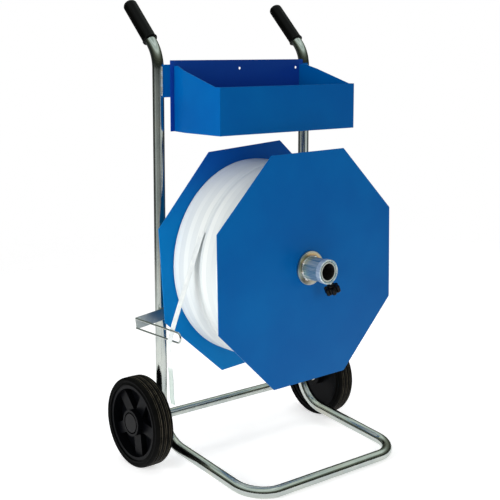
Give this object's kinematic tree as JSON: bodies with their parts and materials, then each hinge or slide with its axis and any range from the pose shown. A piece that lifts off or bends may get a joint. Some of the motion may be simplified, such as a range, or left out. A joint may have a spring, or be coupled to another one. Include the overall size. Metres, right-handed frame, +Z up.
{
  "type": "mobile strap dispenser",
  "caption": "Two-wheeled cart of bent tube with a reel of plastic strap between octagonal plates, a strap guide and a tool tray.",
  "frame": {"origin": "on the floor, in the middle of the footprint, which runs from the front bar to the tips of the grips", "axes": "+Z up, -Y towards the front bar and the front plate, +X along the wheel axle to the right as seen from the front"},
  "size_m": [0.594, 0.4546, 1.0211],
  "materials": {
    "zinc": "bright zinc-plated steel, smooth, with long soft reflections",
    "blue_paint": "satin-gloss blue powder coat with a very fine orange-peel texture",
    "tyre_rubber": "black rubber with tread ribs, dull, browner on the rib edges",
    "black_plastic": "moulded black plastic, fine-grained",
    "black_steel": "pressed steel cap, black",
    "grip_vinyl": "soft black vinyl, satin, with faint lengthwise ribs",
    "bush_plastic": "natural nylon",
    "cardboard": "wound brown board",
    "white_strap": "white polypropylene strap, satin, faintly ribbed along its length"
  },
  "bodies": {
    "cart": {"frame_tube": "zinc", "axle_cross_tube": "zinc", "axle_rod": "zinc", "wheel_spacers": "zinc", "axle_washers": "zinc", "axle_caps": "black_steel", "grip_left": "grip_vinyl", "grip_right": "grip_vinyl", "tray_back_panel": "blue_paint", "tray_box": "blue_paint", "tray_bracket_left": "blue_paint", "tray_bracket_right": "blue_paint", "tray_weld_beads": "blue_paint", "tray_stud_nuts": "zinc", "reel_cross_bar": "zinc", "spindle_mount": "zinc", "spindle_mount_bolts": "zinc", "stub_axle": "zinc", "spindle_spacer": "zinc", "end_washer": "zinc", "end_bolt": "zinc", "guide_bar": "zinc", "guide_wire": "zinc", "strap_tail": "white_strap"},
    "wheel_left": {"tyre_left": "tyre_rubber", "rim_left": "black_plastic", "wheel_bearing_left": "bush_plastic"},
    "wheel_right": {"tyre_right": "tyre_rubber", "rim_right": "black_plastic", "wheel_bearing_right": "bush_plastic"},
    "reel": {"spindle_tube": "zinc", "rear_bush": "bush_plastic", "front_bush": "bush_plastic", "back_plate": "blue_paint", "back_flange": "zinc", "back_weld_bead": "zinc", "back_flange_bolts": "zinc", "core_arms": "zinc", "core_arm_bolts": "zinc", "cardboard_core": "cardboard", "strap_coil": "white_strap"},
    "front_plate": {"front_plate": "blue_paint", "front_flange": "zinc", "hub_sleeve": "zinc", "hub_weld_bead": "zinc", "front_flange_studs": "zinc", "clamp_collar": "zinc"},
    "clamp_stud": {"clamp_stud": "zinc"},
    "star_knob": {"star_knob": "black_plastic"}
  },
  "joints": [
    {"name": "wheel_left_spin", "type": "hinge", "parent": "cart", "child": "wheel_left", "pos_m": [-0.2725, 0.11119, 0.1], "axis": [1, 0, 0], "continuous": true},
    {"name": "wheel_right_spin", "type": "hinge", "parent": "cart", "child": "wheel_right", "pos_m": [0.2725, 0.11119, 0.1], "axis": [1, 0, 0], "continuous": true},
    {"name": "reel_spin", "type": "hinge", "parent": "cart", "child": "reel", "pos_m": [0, -0.04281, 0.449], "axis": [0, -1, 0], "continuous": true},
    {"name": "front_plate_slide", "type": "slide", "parent": "reel", "child": "front_plate", "axis": [0, -1, 0], "range_m": [0, 0.05]},
    {"name": "clamp_stud_travel", "type": "slide", "parent": "front_plate", "child": "clamp_stud", "axis": [0.3827, 0, -0.9239], "range_m": [0, 0.00376]},
    {"name": "star_knob_turn", "type": "hinge", "parent": "clamp_stud", "child": "star_knob", "pos_m": [0.01569, -0.19431, 0.41112], "axis": [0.3827, 0, -0.9239], "range_deg": [0, 1080]}
  ],
  "couplings": [
    {"joint": "clamp_stud_travel", "follows": "star_knob_turn", "m_per_rad": 0.00019894}
  ]
}
